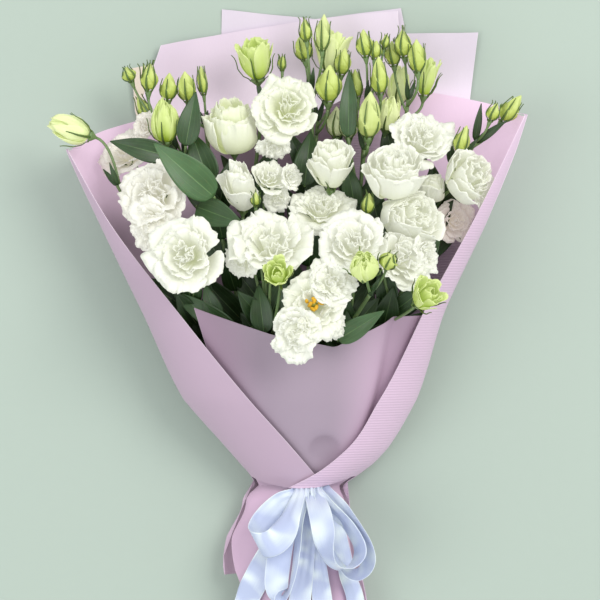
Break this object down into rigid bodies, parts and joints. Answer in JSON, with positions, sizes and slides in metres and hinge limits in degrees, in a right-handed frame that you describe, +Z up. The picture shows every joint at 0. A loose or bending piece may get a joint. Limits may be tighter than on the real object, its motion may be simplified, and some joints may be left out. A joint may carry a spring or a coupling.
{
  "type": "lisianthus bouquet",
  "caption": "Hand-tied bouquet of white double lisianthus with buds and leaves, lying on its back in a flared paper wrap with a satin bow at the tie.",
  "frame": {"origin": "on the table, at the middle of the flat underside of the ribbon band, below the tie", "axes": "+Y along the bouquet from the cut stem ends to the flowers, +Z up out of its front, +X to the right when it is looked down on with the flowers at the top"},
  "size_m": [0.4276, 0.608, 0.1961],
  "materials": {
    "petal": "matte, velvety, slightly translucent",
    "stamen": "matte pollen",
    "bud_open": "matte, cream turning green at the foot",
    "bud_shut": "satin, yellow-green",
    "green": "waxy leaf green",
    "paper_back": "matt pink-lilac paper",
    "paper_middle": "matt pink paper",
    "paper_cream": "matt cream paper",
    "paper_left": "matt dusty pink paper",
    "paper_right": "matt pink-lilac paper with a fine rib",
    "paper_front": "matt grey-pink paper",
    "ribbon": "white satin"
  },
  "bodies": {
    "root": {"bloom_01": "petal", "bloom_02": "petal", "bloom_03": "petal", "bloom_04": "petal", "bloom_05": "petal", "bloom_06": "petal", "bloom_07": "petal", "bloom_08": "petal", "bloom_09": "petal", "bloom_10": "petal", "bloom_11": "petal", "bloom_12": "petal", "bloom_13": "petal", "bloom_14": "petal", "bloom_15": "petal", "bloom_16": "petal", "bloom_17": "petal", "bloom_18": "petal", "bloom_19": "petal", "bud_01": "bud_open", "bud_05": "bud_shut", "bud_07": "bud_open", "bud_08": "bud_shut", "bud_10": "bud_open", "bud_13": "bud_open", "bud_14": "bud_open", "bud_16": "bud_open", "bud_18": "bud_shut", "bud_19": "bud_shut", "bud_20": "bud_open", "bud_22": "bud_shut", "bud_26": "bud_shut", "bud_28": "bud_shut", "bud_30": "bud_shut", "bud_32": "bud_open", "bud_35": "bud_shut", "bud_37": "bud_open", "bud_38": "bud_open", "bud_39": "bud_shut", "bud_40": "bud_shut", "ribbon": "ribbon", "spray_01": "green", "spray_02": "green", "spray_03": "green", "spray_04": "green", "spray_05": "green", "spray_06": "green", "spray_07": "green", "spray_08": "green", "spray_09": "green", "spray_10": "green", "stamens": "stamen", "wrap_back_centre": "paper_back", "wrap_back_left": "paper_back", "wrap_back_right": "paper_back", "wrap_cream": "paper_cream", "wrap_front": "paper_front", "wrap_left": "paper_left", "wrap_middle": "paper_middle", "wrap_right": "paper_right"}
  },
  "joints": []
}
